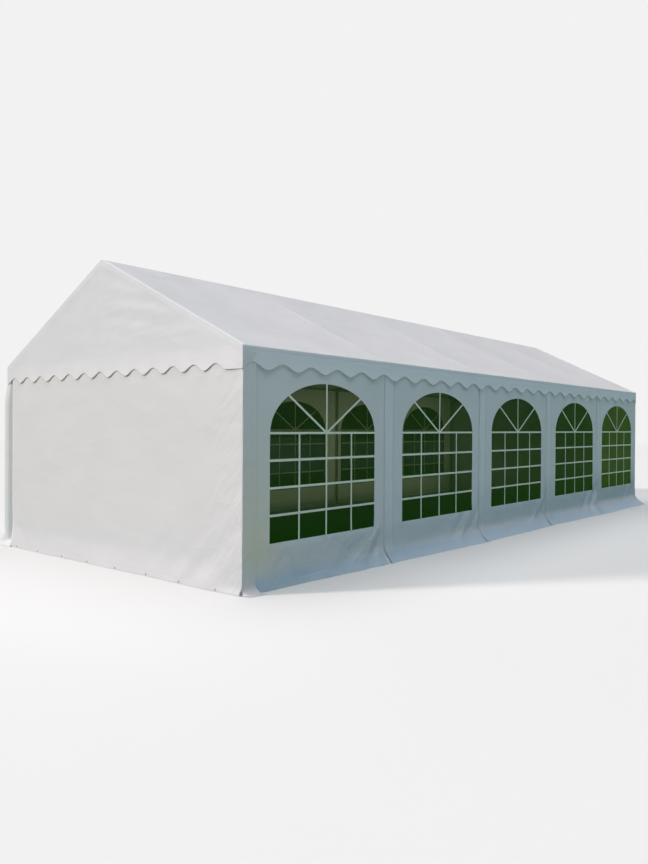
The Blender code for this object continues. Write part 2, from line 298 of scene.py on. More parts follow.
# %% [markdown]
# ## The gable ends
# Each end of the cover is a triangle of cloth with its own valance, cut in one piece and welded to the
# roof along the verge. The grid's rows run between the wavy edge and the roof line, so they close up
# towards the eaves. To the right of the middle weld the cloth is creased sideways from its packing,
# and each lobe of the valance curls out a little, which throws a thin shadow on the wall. The cloth is
# held flat along the verges and the eave line, where it is welded.

# %% Gable covers
def gable_low(x):
    wave = lobe(HALF_WIDTH - x, 2 * HALF_WIDTH, GABLE_NOTCH, GABLE_WAVE)
    return EAVE - NOTCH_DROP - WAVE_DEPTH * wave


def gable_stand_off(x, z):
    """How far the gable's cloth stands out at x, to the right seen from outside, and height z."""
    from_verge = (roof_height(x) - z) * cos(SLOPE_ANGLE)
    if z < EAVE:
        share = (EAVE - z) / VALANCE_DEEP
        wave = lobe(HALF_WIDTH - x, 2 * HALF_WIDTH, GABLE_NOTCH, GABLE_WAVE)
        return valance_flare(share, wave, HALF_WIDTH - abs(x)) * 0.55
    held = ease(0.0, 0.12, from_verge) * ease(EAVE, EAVE + 0.15, z)
    creases = ripple(x * 1.4, z * 9.0 + x * 1.6, 5.1) * 0.0030 * ease(-0.10, 0.10, x)
    creases += ripple(x * 2.5, z * 19.0 - x * 1.2, 6.6) * 0.0017 * ease(-0.10, 0.10, x)
    broad = ripple(x * 0.8, z * 1.3, 2.9) * 0.004
    return (creases + broad) * held


def gable_point(end, x, z):
    """The place of a point of the front (end -1) or rear (end 1) gable's cloth."""
    y = end * (HALF_LENGTH + gable_stand_off(x, z)) - front_lean(end * HALF_LENGTH, z)
    return -end * x, y, z


def gable_cover(name, end, node):
    columns = steps(-HALF_WIDTH, HALF_WIDTH, 0.02)
    made = flat_grid(name, columns, steps(0.0, 1.0, 1 / 48))
    for vertex in made.data.vertices:
        low, high = gable_low(vertex.co.x), roof_height(vertex.co.x)
        vertex.co.y = low + vertex.co.y * (high - low)
    keep_flat_as_uv(made)
    shape_sheet(made, lambda x, z: gable_point(end, x, z))
    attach(made, "root")
    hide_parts(node)
    return made


gable_cover_front = gable_cover("gable_cover_front", -1, "gable_front")
gable_cover_rear = gable_cover("gable_cover_rear", 1, "gable_rear")
print("gable cover", len(gable_cover_front.data.polygons), "faces")

# %% [markdown]
# ## One flat window panel
# The side walls are ten like panels, so one is cut flat and copied. The window is a rectangle with a
# half ellipse on it. A Boolean would leave long thin triangles that shade badly on soft cloth.
# Here each straight piece of the outline is cut by a bisect that touches only the faces next to it, and
# then the faces inside the outline are deleted, as with scissors.

# %% Cut the window
WINDOW_HALF, WINDOW_SILL = 0.75, 0.394
WINDOW_SPRING, WINDOW_RISE = 1.348, 0.456
PANEL_WIDTH = BAY + LAP
WINDOW_CENTRE = PANEL_WIDTH / 2
CELL = 0.026


def window_outline(grow=0.0, arch_steps=40):
    """The window's outline, counter-clockwise, in the flat panel. grow makes it larger all round."""
    half, rise = WINDOW_HALF + grow, WINDOW_RISE + grow
    points = [(WINDOW_CENTRE - half, WINDOW_SILL - grow), (WINDOW_CENTRE + half, WINDOW_SILL - grow)]
    for step in range(arch_steps + 1):
        angle = pi * step / arch_steps
        points.append((WINDOW_CENTRE + half * cos(angle), WINDOW_SPRING + rise * sin(angle)))
    return [Vector((x, y, 0)) for x, y in points]


def outline_edges(outline):
    """For each straight piece: its two ends and the direction out of the window."""
    pairs = zip(outline, outline[1:] + outline[:1])
    return [(a, b, Vector((b.y - a.y, a.x - b.x, 0)).normalized()) for a, b in pairs]


def near_segment(point, a, b, reach):
    """Whether a point lies within reach of the straight line from a to b."""
    along = b - a
    share = min(1.0, max(0.0, (point - a).dot(along) / along.dot(along)))
    return (point - a - along * share).length < reach


def cut_along(piece, edges, cell, inside):
    """Cuts a flat sheet with faces of size cell, and deletes what is inside the edges or outside them."""
    make_active(piece)
    bpy.ops.object.mode_set(mode="EDIT")
    bpy.ops.mesh.select_mode(type="FACE")
    for a, b, outward in edges:
        shape = bmesh.from_edit_mesh(piece.data)
        for face in shape.faces:
            face.select_set(near_segment(face.calc_center_median(), a, b, 1.5 * cell))
        bmesh.update_edit_mesh(piece.data)
        bpy.ops.mesh.bisect(plane_co=a, plane_no=outward, use_fill=False, threshold=0.00001)
    shape = bmesh.from_edit_mesh(piece.data)
    for face in shape.faces:
        centre = face.calc_center_median()
        within = all((centre - a).dot(outward) < 0 for a, b, outward in edges)
        face.select_set(within == inside)
    bmesh.update_edit_mesh(piece.data)
    bpy.ops.mesh.delete(type="FACE")
    bpy.ops.mesh.select_all(action="SELECT")
    bpy.ops.mesh.remove_doubles(threshold=0.0005)
    bpy.ops.object.mode_set(mode="OBJECT")


panel_columns = merged(
    steps(0.0, PANEL_WIDTH, CELL),
    [0.006, BAY - 0.012, BAY, LAP, LAP + 0.012],
)
panel_rows = merged(
    [GROUND_GAP, 0.012],
    steps(0.03, SKIRT_HEIGHT, 0.0243),
    steps(SKIRT_HEIGHT, WALL_TOP, CELL),
)
flat_panel = flat_grid("flat_panel", panel_columns, panel_rows)
cut_along(flat_panel, outline_edges(window_outline()), CELL, inside=True)
keep_flat_as_uv(flat_panel)
print("flat panel", len(flat_panel.data.polygons), "faces")

# %% [markdown]
# ## How a wall hangs
# A wall panel hangs from the eave tube, so its top is straight, its middle has slow folds of a few
# millimetres, and its foot flares out over the ground as a skirt. Each panel's left edge lies on top of
# the panel before it, which goes on beneath for 15 cm and shows through as a faint step. Where the
# skirt flares, that free edge rolls up and swings aside. Two layers that lie on each other share the
# same folds, which come from their place along the wall and not from the panel.

# %% Folds of a wall
def station_value(stations, place):
    """Reads a list of (place, value) stations, with straight lines between them."""
    if place <= stations[0][0]:
        return stations[0][1]
    for (low, first), (high, second) in zip(stations, stations[1:]):
        if place <= high:
            return first + (second - first) * (place - low) / (high - low)
    return stations[-1][1]


def skirt_reach(z):
    """How far the wall stands out near the ground, about as in the CAD model."""
    below = max(0.0, 1 - z / SKIRT_HEIGHT)
    return SKIRT_FLARE * below ** 2.1


FREE_EDGE_ROLL = 0.016
# Stations of the side's skirt: a place along the tent, and how much of the full flare it has there
SIDE_REACH = [(-4.87, 0.0), (-4.76, 0.30), (-4.35, 0.46), (-3.65, 0.57), (-3.05, 0.76), (-2.1, 1.0)]
SIDE_REACH += [(-1.2, 1.3), (0.5, 1.1), (0.95, 1.05), (2.7, 1.3), (3.1, 1.55), (5.0, 1.55)]


def side_reach(along, z):
    """The side's skirt lies close to the first bay's foot and stands out further along."""
    return skirt_reach(z) * station_value(SIDE_REACH, along)


def wall_folds(along, z, seed):
    """Slow folds of the hanging cloth, still under the valance, deeper towards the ground."""
    hanging = ease(1.86, 1.55, z)
    slow = ripple(along * 0.9, z * 0.55, seed) * 0.0050
    drape = ripple((along + z * 0.5) * 2.6, z * 0.5, seed + 4.3) * 0.0026
    cross = ripple((along - z * 0.9) * 2.1, z * 1.2, seed + 9.1) * 0.0020
    return (slow + drape + cross) * hanging


def skirt_folds(along, z, seed):
    """Waves in the skirt's lower edge."""
    below = max(0.0, 1 - z / SKIRT_HEIGHT)
    wide = ripple(along * 1.3, 0.0, seed + 1.7) * 0.016
    small = ripple(along * 4.0, 0.0, seed + 6.1) * 0.006
    return (wide + small) * below ** 1.5


def free_edge(s, z, swing_most):
    """(sideways, outward) move of the cloth near a panel's free left edge, s being measured from it."""
    below = max(0.0, 1 - z / SKIRT_HEIGHT)
    swing = swing_most * below ** 1.3 * exp(-((s / 0.35) ** 2))
    roll = FREE_EDGE_ROLL * below * exp(-s / 0.03) + 0.0012 * ease(LAP + 0.010, LAP - 0.010, s)
    return swing, roll


print("skirt flares by", skirt_reach(0.0), "m, or halfway along by", round(side_reach(0.0, 0.0), 3), "m")

# %% [markdown]
# ## The place of a point of a side wall
# No two bays hang alike. Each has its own swing of the free edge and its own pull of diagonal folds at
# the foot. The first panel is tucked under the end wall. The last one's window hangs 8 cm nearer than
# the middle of its bay, which leaves a broader margin, and its last strip turns the corner. On the left
# side that strip stands at the front left corner of the tent, and puffs out a little between its ties.

# %% Shape of a side wall
CORNER_S = BAY - 2 * LAYER
END_REACH = 0.45
TUCK = 0.008
WINDOW_SHIFT = 0.08
SLOT_DEEP = 0.036
CORNER_PUFF = 0.024
EDGE_SWING = (0.0, 0.018, -0.04, -0.07, -0.09)
# For each bay: how strong its diagonal folds are, and the row of the noise that they are taken from
FOOT_FOLDS = [(0.7, 0.0), (0.9, 3.7), (0.5, 7.4), (2.2, 3.9), (1.0, 14.8)]


def foot_pull(bay, s, z):
    """Diagonal folds where the panel is drawn down at the right of its foot, most in the fourth bay."""
    drawn, row = FOOT_FOLDS[bay]
    near = ease(0.90, 1.90, s) * ease(0.62, 0.24, z) * drawn
    return ripple((s - z * 1.1) * 6.0, (s + z) * 0.8 + row, 71.3) * 0.018 * near


def side_point(bay, s, z, out, seed):
    """A point of a right side panel. s runs to the right from its left edge, out is added outwards."""
    swing, roll = free_edge(s, z, EDGE_SWING[bay])
    tuck = ease(LAP + 0.02, LAP - 0.03, s) if bay == 0 else 0.0
    under = ease(BAY - 0.014, BAY, s) if bay < 4 else 0.0
    along = BAY * bay - HALF_LENGTH + max(s, LAYER if bay == 0 else 0.0) + swing
    if bay == 4:
        along -= WINDOW_SHIFT * ease(0.02, 0.30, s) * ease(2.0, 1.84, s)
    folds = wall_folds(along, z, seed) + skirt_folds(along, z, seed) + foot_pull(bay, s, z) * (1 - under)
    stand = folds * (1 - 0.8 * tuck) + side_reach(along, z) + roll * (1 - under) - TUCK * tuck + out
    x = HALF_WIDTH - LAYER - 0.7 * LAYER * under + stand
    if bay == 4:
        return turned_corner(x - HALF_WIDTH, along, s - CORNER_S, z)
    return Vector((x, along, z))


def turned_corner(stand, along, past, z):
    """Turns a wall's last strip round the corner of the tent, where the skirt flares both ways.

    Just before the end wall's edge the strip is drawn in between the lacings, which leaves a dark slot.
    """
    end_reach = skirt_reach(z) * END_REACH
    if past <= 0:
        return Vector((HALF_WIDTH + stand, along + ease(-0.30, 0.0, past) * end_reach, z))
    drawn_in = ease(0.0, 0.15, past)
    x = HALF_WIDTH - LAYER - past + side_reach(HALF_LENGTH, z) * (1 - drawn_in)
    slot = SLOT_DEEP * ease(0.086, 0.112, past) * ease(0.0, 0.10, z)
    return Vector((x, HALF_LENGTH - 2 * LAYER + end_reach - slot, z))


def half_turn(point):
    """The same place on the opposite side of the tent; the front left corner is puffed out a little."""
    x, y, z = -point[0], -point[1], point[2]
    near_corner = ease(0.16, 0.02, HALF_LENGTH + y) * ease(0.15, 0.05, HALF_WIDTH + x)
    puffed = CORNER_PUFF * near_corner * ease(1.95, 1.65, z) * ease(0.0, 0.25, z)
    return Vector((x - puffed, y - puffed, z))


print("the fourth panel's free edge swings by", EDGE_SWING[3], "m at the ground")

# %% [markdown]
# ## The ten window panels
# Each panel is a copy of the flat one, hung on its own bay. The left side's panels are hung as if on the
# right side and then turned half way round the tent, which is how such a tent repeats, with other folds.

# %% Hang the side walls
FOLD_SEED = {"right": 11.3, "left": 37.9}
side_walls = {}
for label in ("right", "left"):
    for bay in range(5):
        panel = copy_piece(flat_panel, f"side_wall_{label}_{bay + 1}")
        seed = FOLD_SEED[label]
        if label == "right":
            shape_sheet(panel, lambda s, z: side_point(bay, s, z, 0.0, seed))
        else:
            shape_sheet(panel, lambda s, z: half_turn(side_point(bay, s, z, 0.0, seed)))
        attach(panel, "root")
        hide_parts(f"wall_panel_{label}_{bay + 1}")
        side_walls[label, bay] = panel
bpy.data.objects.remove(flat_panel)
print(len(side_walls), "side walls")

# %% [markdown]
# ## The end walls
# The end walls have no window. Each is one plain sheet whose right end turns the corner and goes over
# the edge of the side's first panel. Its foot is folded out flat on the ground there, and is slit at the
# corner so that it can be. Its left edge lies over the strip of the side wall that comes round the
# other corner.

# %% Hang the end walls
END_START = -HALF_WIDTH + CORNER_STRIP
END_CORNER = HALF_WIDTH + LAYER - END_START
FOOT_FOLD = 0.055
END_FLARE = 0.03
CORNER_SLIT = 0.030
END_WIDTH = END_CORNER + LAP
END_SEED = {"front": 51.7, "rear": 63.2}


def end_folds(x, z):
    """Folds of an end wall: drawn diagonally at the lower corners, upright under the right eave."""
    hanging = ease(1.86, 1.5, z)
    low_left = ripple((x + 2.0) * 4.0 + z * 4.4, z * 0.8, 21.3) * 0.016
    low_left *= ease(1.2, 0.2, z) * ease(-0.9, -1.7, x)
    low_right = ripple(x * 3.6 - z * 4.2, z * 0.6, 23.9) * 0.011
    low_right *= ease(1.0, 0.1, z) * ease(0.4, 1.5, x)
    upright = ripple(x * 7.0 + z * 2.0, z * 0.7, 25.1) * 0.011
    upright *= ease(1.0, 1.7, x) * ease(0.7, 1.4, z)
    return (low_left + low_right + upright) * hanging


def end_point(s, z, out, seed):
    """A point of the front wall, s being measured along it from its left edge."""
    x = END_START + s
    past = s - END_CORNER
    swing, roll = free_edge(s, z, 0.02)
    low = max(0.0, FOOT_FOLD - z)
    even = END_FLARE * max(0.0, 1 - z / 0.24) ** 1.4
    at_corner = ease(-0.40, -0.06, past)
    reach = even + (low * 0.25 - even) * at_corner
    slit = CORNER_SLIT * ease(0.0035, 0.0, abs(past)) * ease(FOOT_FOLD, 0.035, z)
    if past <= 0:
        stand = reach + skirt_folds(x, z, seed) * 0.5 + out
        stand += wall_folds(x, z, seed) * 0.8 * ease(0.0, -0.05, past) + end_folds(x, z) + roll * 0.6
        return Vector((x + swing - slit, -HALF_LENGTH + LAYER - stand + slit, z))
    y = -HALF_LENGTH + LAYER - reach * ease(0.10, 0.0, past) + past + low * past * 5.0
    fold_out = low * 1.7 * ease(0.0, 0.03, past)
    height = z if z > FOOT_FOLD else FOOT_FOLD - (FOOT_FOLD - 0.004) * ease(0.0, 0.4, low / FOOT_FOLD)
    return Vector((HALF_WIDTH + LAYER + fold_out - slit + out, y + slit, height))


end_columns = merged(
    steps(0.0, END_WIDTH, CELL),
    [0.006, END_CORNER - 0.004, END_CORNER, END_CORNER + 0.004],
)
end_wall_front = flat_grid("end_wall_front", end_columns, panel_rows)
keep_flat_as_uv(end_wall_front)
end_wall_rear = copy_piece(end_wall_front, "end_wall_rear")
shape_sheet(end_wall_front, lambda s, z: end_point(s, z, 0.0, END_SEED["front"]))
shape_sheet(end_wall_rear, lambda s, z: half_turn(end_point(s, z, 0.0, END_SEED["rear"])))
for wall, node in ((end_wall_front, "gable_wall_front"), (end_wall_rear, "gable_wall_rear")):
    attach(wall, "root")
    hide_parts(node)
print("end wall", len(end_wall_front.data.polygons), "faces")

# %% [markdown]
# ## The clear windows
# A sheet of clear film is welded behind each opening, a few centimetres larger than it. It is cut flat
# like the panel, and takes the panel's own folds, so the two stay together.
# The bars are strips of coated cloth, 21 mm wide, welded to the film: a cross bar at the foot of the
# arch, three more below it, three uprights, and a fan of three in the arch. They are on both faces of the
# film, because those of the far wall are seen from the inside.

# %% Cut a film and a set of bars
FILM_LAP = 0.03
FILM_BACK = -0.0024
BAR_WIDTH = 0.021
BAR_BACK = -0.0016
BAR_GAP = 0.0018
BAR_TUCK = 0.01
CUT_MARGIN = 0.06

flat_film = flat_grid(
    "flat_film",
    steps(WINDOW_CENTRE - WINDOW_HALF - CUT_MARGIN, WINDOW_CENTRE + WINDOW_HALF + CUT_MARGIN, 0.039),
    steps(WINDOW_SILL - CUT_MARGIN, WINDOW_SPRING + WINDOW_RISE + CUT_MARGIN, 0.039),
)
cut_along(flat_film, outline_edges(window_outline(FILM_LAP)), 0.04, inside=False)
keep_flat_as_uv(flat_film)


def flat_strip(start, end):
    """A flat strip of a bar's width from one place of the flat panel to another."""
    start, end = Vector((*start, 0)), Vector((*end, 0))
    along = end - start
    strip = flat_grid("strip", steps(0.0, along.length, 0.05), [-BAR_WIDTH / 2, BAR_WIDTH / 2])
    strip.data.transform(Matrix.Translation(start) @ Matrix.Rotation(atan2(along.y, along.x), 4, "Z"))
    return strip


def join(pieces, name):
    """Makes one piece of several."""
    deselect()
    for piece in pieces:
        piece.select_set(True)
    bpy.context.view_layer.objects.active = pieces[0]
    bpy.ops.object.join()
    pieces[0].name = pieces[0].data.name = name
    return pieces[0]


PANE = (WINDOW_SPRING - WINDOW_SILL) / 4
# Each bar ends 1 cm under the panel's cloth
bar_left, bar_right = WINDOW_CENTRE - WINDOW_HALF - BAR_TUCK, WINDOW_CENTRE + WINDOW_HALF + BAR_TUCK
bar_foot = WINDOW_SILL - BAR_TUCK
cross_bars = [
    flat_strip((bar_left, z), (bar_right, z))
    for z in (WINDOW_SILL + PANE, WINDOW_SILL + 2 * PANE, WINDOW_SILL + 3 * PANE, WINDOW_SPRING)
]
uprights = [
    flat_strip((WINDOW_CENTRE + x, bar_foot), (WINDOW_CENTRE + x, WINDOW_SPRING))
    for x in (-WINDOW_HALF / 2, WINDOW_HALF / 2)
]
window_top = (WINDOW_CENTRE, WINDOW_SPRING + WINDOW_RISE + BAR_TUCK)
uprights.append(flat_strip((WINDOW_CENTRE, bar_foot), window_top))
fan_foot = (WINDOW_CENTRE, WINDOW_SPRING)
for side in (-1, 1):
    tip = (WINDOW_CENTRE + side * 0.69 * WINDOW_HALF, WINDOW_SPRING + 0.735 * WINDOW_RISE)
    uprights.append(flat_strip(fan_foot, tip))
# The cross bars lie a little in front of the uprights, as strips welded last do
for strip in cross_bars:
    strip.data.transform(Matrix.Translation((0, 0, 0.0004)))
flat_bars = join(uprights + cross_bars, "flat_bars")
# The same bars again behind the film, turned to face the inside
inner_bars = copy_piece(flat_bars, "inner_bars")
inner_bars.data.transform(Matrix.Translation((0, 0, -BAR_GAP)))
make_active(inner_bars)
bpy.ops.object.mode_set(mode="EDIT")
bpy.ops.mesh.select_all(action="SELECT")
bpy.ops.mesh.flip_normals()
bpy.ops.object.mode_set(mode="OBJECT")
flat_bars = join([flat_bars, inner_bars], "flat_bars")
print("film", len(flat_film.data.polygons), "faces, bars", len(flat_bars.data.polygons), "faces")

# %% [markdown]
# ## Windows in their walls
# Film and bars are copied for each panel and moved by the panel's own shape function, a little further
# in. A Shrinkwrap modifier would be the usual way, but it has no cloth to hold on to in the opening.

# %% Weld the windows in
window_films, window_bars = {}, {}
for (label, bay), panel in side_walls.items():
    film = copy_piece(flat_film, f"window_film_{label}_{bay + 1}")
    bars = copy_piece(flat_bars, f"window_bars_{label}_{bay + 1}")
    seed = FOLD_SEED[label]
    for piece, back in ((film, FILM_BACK), (bars, BAR_BACK)):
        for vertex in piece.data.vertices:
            place = side_point(bay, vertex.co.x, vertex.co.y, back + vertex.co.z, seed)
            vertex.co = place if label == "right" else half_turn(place)
        make_active(piece)
        bpy.ops.object.shade_smooth()
        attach(piece, "root")
    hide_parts(f"window_film_{label}")
    window_films[label, bay], window_bars[label, bay] = film, bars
bpy.data.objects.remove(flat_film)
bpy.data.objects.remove(flat_bars)
print(len(window_films), "windows")

# %% [markdown]
# ## Hems on the valances
# The wavy edge is bound with a strip folded over it, in a darker olive that is partly the strip's own
# colour and partly painted shade for its underside. It is a narrow strip of faces that follows the edge
# and gets its thickness from Solidify, the plain way to give a sheet two sides and a rim.

# %% Valance hems
HEM_HEIGHT, HEM_THICK = 0.006, 0.0044


def hem(name, stations, edge_point):
    """A folded strip. edge_point gives its place at a station along the edge and a height above it."""
    made = flat_grid(name, stations, [-0.001, HEM_HEIGHT])
    keep_flat_as_uv(made)
    shape_sheet(made, edge_point)
    make_active(made)
    thick = made.modifiers.new("thickness", "SOLIDIFY")
    thick.thickness = HEM_THICK
    thick.offset = 0
    bpy.ops.object.modifier_apply(modifier=thick.name)
    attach(made, "root")
    return made


def side_edge(side):
    def point(along, height):
        x, y, z = roof_point(along * side, side * (SLOPE_LENGTH + VALANCE_DEEP))
        return x, y, z + height
    return point


def gable_edge(end):
    def point(across, height):
        x, y, z = gable_point(end, across, gable_low(across))
        return x, y, z + height
    return point


hem_columns = steps(-HALF_LENGTH, HALF_LENGTH, 0.022)
gable_columns = steps(-HALF_WIDTH, HALF_WIDTH, 0.018)
side_hems = [
    hem("valance_hem_right", hem_columns, side_edge(1)),
    hem("valance_hem_left", hem_columns, side_edge(-1)),
]
gable_hems = [
    hem("gable_hem_front", gable_columns, gable_edge(-1)),
    hem("gable_hem_rear", gable_columns, gable_edge(1)),
]
print("hems", [len(piece.data.polygons) for piece in side_hems + gable_hems])

# %% [markdown]
# ## The film's area
# The area of a window's film is worked out from its cut: a rectangle and a half ellipse, each grown by
# the film's lap. A wall panel's cut leaves out its window.

FILM_AREA = 2 * (WINDOW_HALF + FILM_LAP) * (WINDOW_SPRING - WINDOW_SILL + FILM_LAP)
FILM_AREA += pi * (WINDOW_HALF + FILM_LAP) * (WINDOW_RISE + FILM_LAP) / 2
for (label, bay), panel in side_walls.items():
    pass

# %% [markdown]
# ## Writing shader maths as expressions
# A procedural material is a sum of masks and noises. Adding a Math node for each sign is slow to read, so
# a small class wraps a socket and lets Python's own signs add the nodes. A second one holds a material's
# nodes and adds any other kind. The floor, the sky and every finish of the tent are written with the two.

# %% Shader helpers
class Value:
    """A socket that gives a number, on which +, -, * and ** add Math nodes."""

    def __init__(self, look, socket):
        self.look = look
        self.socket = socket

    def math(self, operation, first, second):
        return self.look.node("ShaderNodeMath", {"operation": operation}, {0: first, 1: second})

    def __add__(self, other):
        return self.math("ADD", self, other)

    def __radd__(self, other):
        return self.math("ADD", other, self)

    def __sub__(self, other):
        return self.math("SUBTRACT", self, other)

    def __rsub__(self, other):
        return self.math("SUBTRACT", other, self)

    def __mul__(self, other):
        return self.math("MULTIPLY", self, other)

    def __rmul__(self, other):
        return self.math("MULTIPLY", other, self)

    def __pow__(self, other):
        return self.math("POWER", self, other)


class Look:
    """The nodes of a material, or of a world, and one way to add to them."""

    def __init__(self, owner, shader="Principled BSDF", **constants):
        self.material = owner
        owner.use_nodes = True
        self.tree = owner.node_tree
        self.shader = self.tree.nodes[shader]
        for socket, value in constants.items():
            self.shader.inputs[socket.replace("_", " ")].default_value = value

    def node(self, kind, settings=None, inputs=None, output=0):
        """Adds a node: its settings first, then the values or links of its sockets."""
        made = self.tree.nodes.new(kind)
        for name, value in (settings or {}).items():
            if name == "stops":
                ramp = made.color_ramp.elements
                while len(ramp) < len(value):
                    ramp.new(0.5)
                for element, (place, colour) in zip(ramp, value):
                    element.position = place
                    element.color = (*colour, 1)
            else:
                setattr(made, name, value)
        for name, value in (inputs or {}).items():
            self.feed(made.inputs[name], value)
        return Value(self, made.outputs[output])

    def feed(self, socket, value):
        if isinstance(value, Value):
            self.tree.links.new(value.socket, socket)
        else:
            socket.default_value = value

    def set(self, name, value):
        self.feed(self.shader.inputs[name], value)

    def place(self, kind="Object"):
        return self.node("ShaderNodeTexCoord", output=kind)

    def stretched(self, vector, scale, turn=(0, 0, 0)):
        return self.node("ShaderNodeMapping", {}, {"Vector": vector, "Scale": scale, "Rotation": turn})

    def noise(self, vector, scale, detail=2.0, roughness=0.5, swirl=0.0):
        values = {"Vector": vector, "Scale": scale, "Detail": detail}
        values.update({"Roughness": roughness, "Distortion": swirl})
        return self.node("ShaderNodeTexNoise", {}, values)

    def mix(self, share, first, second):
        settings = {"data_type": "RGBA"}
        return self.node("ShaderNodeMix", settings, {0: share, 6: first, 7: second}, output=2)

    def range(self, value, low, high, start=0.0, end=1.0):
        """start where value is at low, end where it is at high, and straight between."""
        values = {"Value": value, "From Min": low, "From Max": high, "To Min": start, "To Max": end}
        return self.node("ShaderNodeMapRange", {"clamp": True}, values)

    def absolute(self, value):
        return self.node("ShaderNodeMath", {"operation": "ABSOLUTE"}, {0: value})

    def parts(self, vector):
        """A vector's first two numbers."""
        split = self.node("ShaderNodeSeparateXYZ", {}, {0: vector}, output="X")
        return split, Value(self, split.socket.node.outputs["Y"])

    def band(self, value, middle, half, soft):
        """1 where value is within half of middle, falling to 0 over soft."""
        return self.range(self.absolute(value - middle), half + soft, half)

    def rays(self):
        """Three numbers of a ray: seen by the camera, reflected, and how many films it has passed."""
        camera_ray = self.node("ShaderNodeLightPath", output="Is Camera Ray")
        outputs = camera_ray.socket.node.outputs
        reflected, films = outputs["Is Glossy Ray"], outputs["Transparent Depth"]
        return camera_ray, Value(self, reflected), Value(self, films)

    def bump(self, height, distance, strength=1.0, below=None):
        values = {"Height": height, "Distance": distance, "Strength": strength}
        if below:
            values["Normal"] = below
        return self.node("ShaderNodeBump", {}, values)


def material(name, **constants):
    return Look(bpy.data.materials.new(name), **constants)


def wear(piece, look):
    """Gives a piece one material."""
    piece.data.materials.clear()
    piece.data.materials.append(look.material)


# %% [markdown]
# ## Coated cloth
# Marquee cloth is a polyester weave coated with white PVC. It is satin, not quite even in its white, and
# carries two kinds of marks: soft sharp-ridged creases from being packed, and a fine pebbled grain.
# The creases are a noise folded over at its middle, which turns smooth hills into narrow ridges.
# The low cloth of the window side is painted a little darker and cooler as shade, more so towards the far
# end, and bluish at its very foot along an uneven line, as the sky's shade on the skirt. The cloth round
# the near corner is dusty low down. The end walls are puckered slantwise beside that corner, where they
# are drawn tight round the leg, and the side's panels below their windows, where they are drawn down to
# the pegs: for both, two mappings turn a noise and then stretch it.

# %% PVC cloth
DOUBLED_AND_LIT_CLOTH = (0.915, 0.94, 0.97, 1)
GROOVE_SHADE = (0.50, 0.51, 0.50, 1)
SKIRT_FOOT_SHADE = (0.555, 0.69, 0.80, 1)
LOW_WALL_SHADE = (0.615, 0.675, 0.745, 1)
DUSTY_CLOTH = (0.845, 0.80, 0.66, 1)


def slanted(look, flat, angle, stretch, swirl):
    """A noise that is turned and then stretched, for cloth that is drawn tight in one direction."""
    turned = look.stretched(flat, (1, 1, 1), (0, 0, radians(angle)))
    return look.noise(look.stretched(turned, (*stretch, 1.0)), 1.0, 3.0, 0.5, swirl)


def pvc(name, colour, shade, crease=1.0, welds_and_light=None, folds_dust_and_shade=False, puckered=False):
    """Coated cloth of a colour that clouds over to shade. The weld function gives its doubled strips,
    with their painted highlights, and its grooves, with their painted shade.
    """
    look = material(name, Roughness=0.42)
    flat = look.place("UV")
    solid = look.place("Object")
    clouds = look.noise(solid, 0.9, 3.0)
    streaks = look.noise(look.stretched(flat, (1.2, 5.0, 1.0)), 1.6, 3.0)
    tone = look.range(clouds * 0.6 + streaks * 0.4, 0.35, 0.65)
    base = look.mix(tone, (*shade, 1), (*colour, 1))
    packed = look.noise(look.stretched(flat, (1.0, 1.4, 1.0), (0, 0, 0.5)), 1.5, 2.0, 0.45)
    ridge = 1 - look.absolute(packed * 2 - 1)
    relief = ridge ** 7 * 0.0030 * crease + look.noise(flat, 5.5, 3.0, 0.5) * 0.0030
    across, height = look.parts(flat)
    if puckered:
        pucker = slanted(look, flat, -52, (3.0, 10.0), 0.7)
        relief = relief + pucker * look.range(across, END_CORNER - 0.6, END_CORNER - 0.05) * 0.017
    if folds_dust_and_shade:
        drawn = slanted(look, flat, -40, (2.4, 4.4), 1.3)
        drawn = drawn * look.range(height, 0.62, 0.36) * look.range(across, 0.2, 1.5, 0.6, 1.0)
        relief = relief + drawn * 0.052
    if welds_and_light:
        doubled_and_lit, groove_shade = welds_and_light(look, flat)
        relief = relief + doubled_and_lit * 0.0012 - groove_shade * 0.0020
        # Doubled cloth is a little whiter, and the painted highlights and the valance's painted sky light
        # come in with it
        base = look.mix(doubled_and_lit * 0.5, base, DOUBLED_AND_LIT_CLOTH)
        # Painted shade in the grooves beside the welds and laps
        base = look.mix(groove_shade * 0.5, base, GROOVE_SHADE)
    if folds_dust_and_shade:
        # Painted bluish shade at the skirt's foot, along an uneven line
        uneven = height + look.noise(flat, 3.0, 3.0) * 0.05
        foot_shade = look.range(uneven, 0.21, 0.10) * look.range(across, BAY, BAY - 0.05)
        base = look.mix(foot_shade, base, SKIRT_FOOT_SHADE)
        # Painted shade on the low wall, darker towards the far end
        low_shade = look.range(height, 0.74, 0.50) * look.range(height, 0.06, 0.22)
        low_shade = low_shade * look.range(look.parts(solid)[1], -4.3, 3.8)
        base = look.mix(low_shade, base, LOW_WALL_SHADE)
    if folds_dust_and_shade or puckered:
        to_right, to_rear = look.parts(solid)
        dusty = look.range(height, 1.55, 0.30) * look.range(height, 0.05, 0.34)
        dusty = dusty * look.range(to_rear, -4.45, -4.75) * look.range(to_rear, -4.993, -4.983)
        dusty = dusty * look.range(to_right, 1.9, 1.95)
        base = look.mix(dusty, base, DUSTY_CLOTH)
    look.set("Base Color", base)
    look.set("Roughness", look.range(look.noise(solid, 3.0, 4.0), 0.3, 0.7, 0.38, 0.5))
    raised = look.bump(relief, 1.0, 0.6)
    look.set("Normal", look.bump(look.noise(solid, 220.0, 2.0, 0.6), 0.0002, 0.25, below=raised))
    return look
